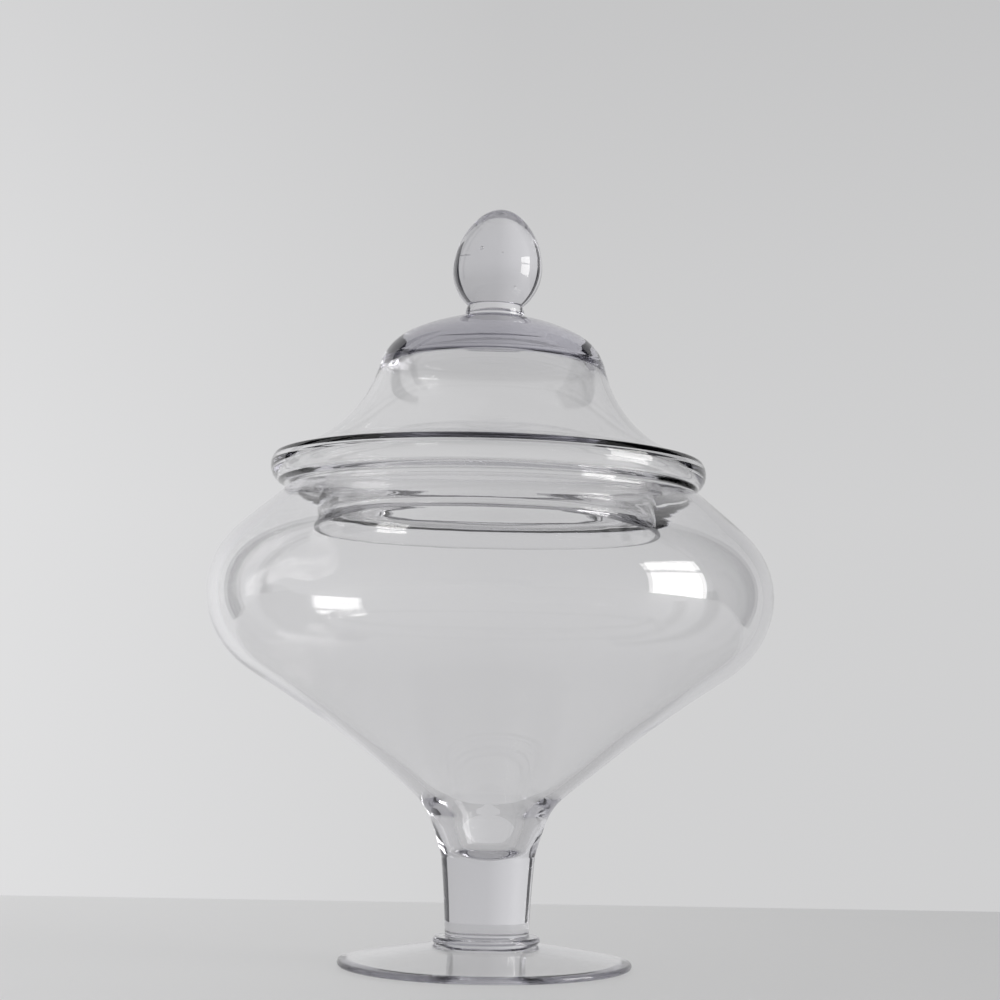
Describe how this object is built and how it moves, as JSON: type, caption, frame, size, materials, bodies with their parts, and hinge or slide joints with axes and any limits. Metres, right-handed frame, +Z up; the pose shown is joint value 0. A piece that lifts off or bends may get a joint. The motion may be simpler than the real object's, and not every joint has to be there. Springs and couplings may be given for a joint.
{
  "type": "apothecary jar",
  "caption": "Footed clear glass apothecary jar with a wide bowl, short solid stem, round foot and a lift-off bell-shaped lid with an egg-shaped knob.",
  "frame": {"origin": "on the table at the centre of the foot", "axes": "+Z up along the jar's axis; the jar is round, so X and Y are free"},
  "size_m": [0.2538, 0.2538, 0.3409],
  "materials": {
    "jar_glass": "polished",
    "lid_glass": "polished"
  },
  "bodies": {
    "jar": {"foot": "jar_glass", "stem_ring": "jar_glass", "stem": "jar_glass", "bowl": "jar_glass"},
    "lid": {"lid_bell": "lid_glass", "lid_flange": "lid_glass", "lid_collar": "lid_glass", "knob_neck": "lid_glass", "knob": "lid_glass"}
  },
  "joints": [
    {"name": "lid_lift", "type": "slide", "parent": "jar", "child": "lid", "axis": [0, 0, 1], "range_m": [0, 0.12]}
  ]
}
